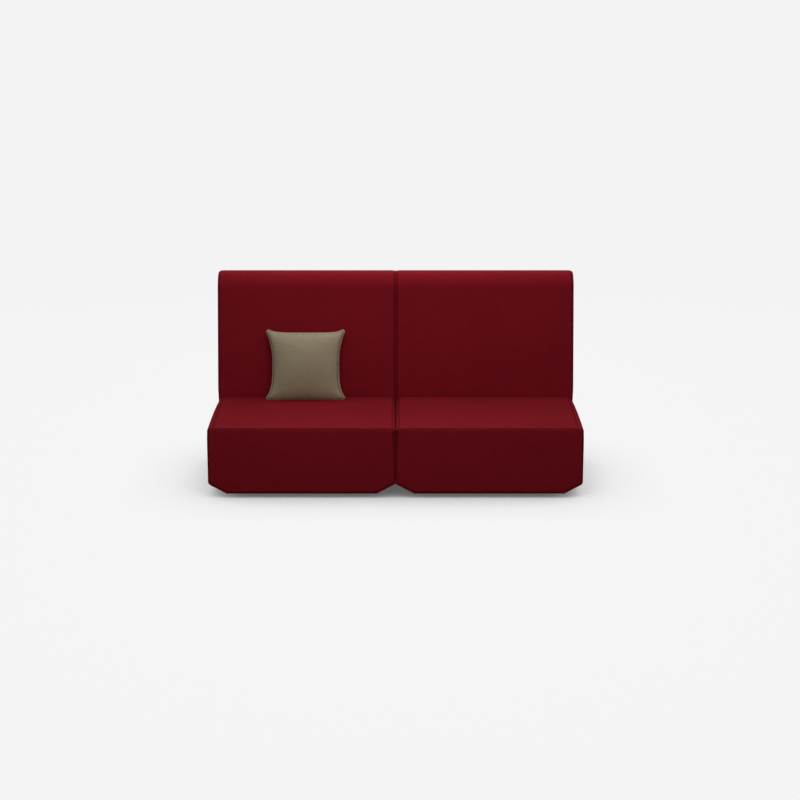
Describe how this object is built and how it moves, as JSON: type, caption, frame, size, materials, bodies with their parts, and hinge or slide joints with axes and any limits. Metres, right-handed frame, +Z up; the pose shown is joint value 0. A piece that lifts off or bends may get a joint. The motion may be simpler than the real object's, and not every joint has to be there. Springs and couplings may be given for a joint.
{
  "type": "two-seat sofa",
  "caption": "Low armless two-seat sofa of linked modules: felt-covered block seats with bevelled lower sides, leaning round-topped backs that lift off, and a loose square cushion.",
  "frame": {"origin": "on the floor under the centre of the whole sofa's bounding box", "axes": "+X to the sitter's left as seen from the front, which is the viewer's right; +Y from the seat's front to the back; +Z up"},
  "size_m": [1.7, 0.9029, 0.908],
  "materials": {
    "wine_felt": "matte",
    "greige_felt": "matte",
    "foam": "matte",
    "wadding": "matte",
    "webbing": "matte",
    "black_cloth": "matte",
    "black_plastic": "matte",
    "zinc": "satin",
    "birch": "satin"
  },
  "bodies": {
    "base": {"left_front_panel": "birch", "left_rear_panel": "birch", "left_side_panels": "birch", "left_bevel_boards": "birch", "left_skids": "birch", "left_cross_rail": "birch", "left_corner_blocks": "birch", "left_seat_webbing": "webbing", "left_seat_foam": "foam", "left_wrap_padding": "wadding", "left_seat_cover": "wine_felt", "left_dust_cloth": "black_cloth", "left_seat_glides": "black_plastic", "left_seat_glide_screws": "zinc", "left_sockets": "zinc", "left_socket_screws": "zinc", "right_front_panel": "birch", "right_rear_panel": "birch", "right_side_panels": "birch", "right_bevel_boards": "birch", "right_skids": "birch", "right_cross_rail": "birch", "right_corner_blocks": "birch", "right_seat_webbing": "webbing", "right_seat_foam": "foam", "right_wrap_padding": "wadding", "right_seat_cover": "wine_felt", "right_dust_cloth": "black_cloth", "right_seat_glides": "black_plastic", "right_seat_glide_screws": "zinc", "right_sockets": "zinc", "right_socket_screws": "zinc", "link_plates": "zinc", "link_bolts": "zinc"},
    "left_back": {"left_back_lower_panel": "birch", "left_back_uprights": "birch", "left_back_rails": "birch", "left_back_webbing": "webbing", "left_back_foam": "foam", "left_back_rear_padding": "wadding", "left_back_cover": "wine_felt", "left_tongues": "zinc", "left_tongue_screws": "zinc", "left_back_glides": "black_plastic", "left_back_glide_screws": "zinc"},
    "right_back": {"right_back_lower_panel": "birch", "right_back_uprights": "birch", "right_back_rails": "birch", "right_back_webbing": "webbing", "right_back_foam": "foam", "right_back_rear_padding": "wadding", "right_back_cover": "wine_felt", "right_tongues": "zinc", "right_tongue_screws": "zinc", "right_back_glides": "black_plastic", "right_back_glide_screws": "zinc"},
    "cushion": {"cushion_cover": "greige_felt", "cushion_fill": "wadding", "cushion_zip": "webbing"}
  },
  "joints": [
    {"name": "left_back_lift", "type": "slide", "parent": "base", "child": "left_back", "axis": [0, 0.1668, 0.986], "range_m": [0, 0.07]},
    {"name": "right_back_lift", "type": "slide", "parent": "base", "child": "right_back", "axis": [0, 0.1668, 0.986], "range_m": [0, 0.07]},
    {"name": "cushion_lift", "type": "slide", "parent": "base", "child": "cushion", "axis": [0, 0, 1], "range_m": [0, 0.3]}
  ]
}
